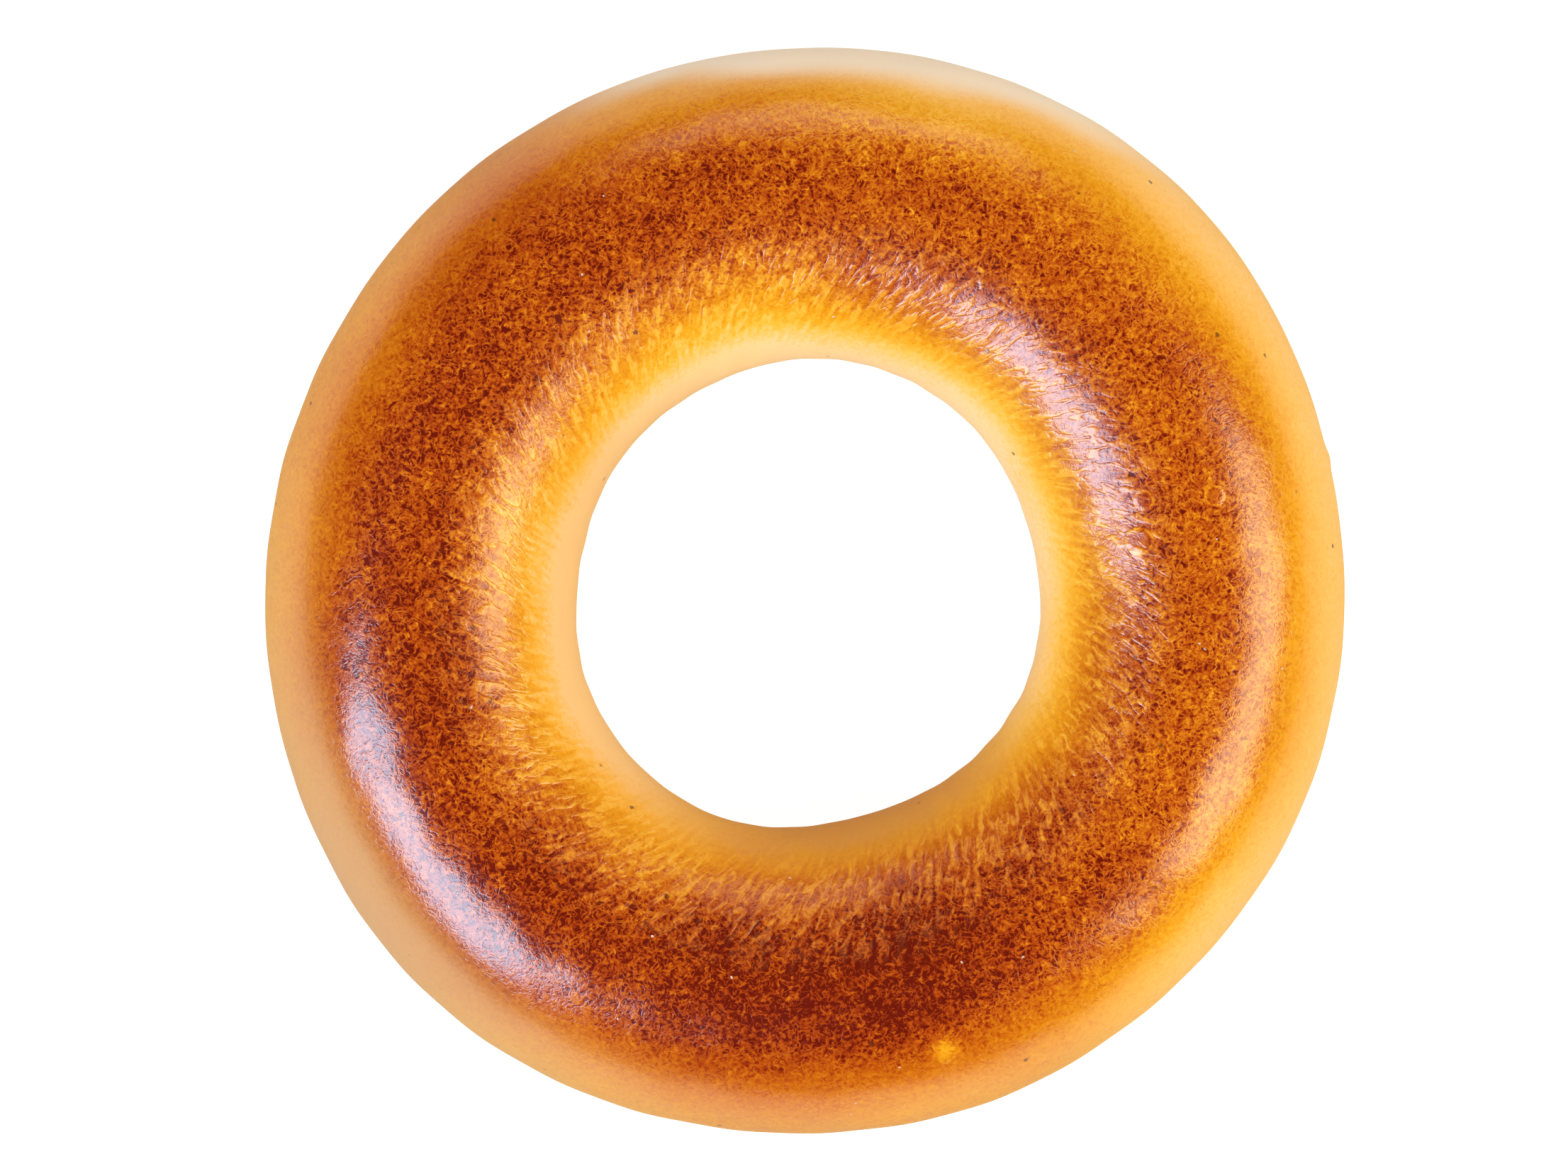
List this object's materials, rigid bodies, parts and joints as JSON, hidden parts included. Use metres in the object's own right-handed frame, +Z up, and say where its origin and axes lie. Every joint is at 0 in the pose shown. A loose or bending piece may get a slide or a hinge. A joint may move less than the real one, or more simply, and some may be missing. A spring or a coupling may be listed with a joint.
{
  "type": "bagel",
  "caption": "Small dry ring bagel with a glossy red-brown crust, a wide round hole, finely wrinkled skin and a flat pale underside.",
  "frame": {"origin": "on the surface that the ring rests on, under the middle of its outline", "axes": "+Z up through the hole, the ring lying flat; +X and +Y across the ring, whose long diameter lies about 55 degrees from +X towards +Y"},
  "size_m": [0.0696, 0.07, 0.0182],
  "materials": {
    "baked_crust": "satin"
  },
  "bodies": {
    "root": {"bagel": "baked_crust"}
  },
  "joints": []
}
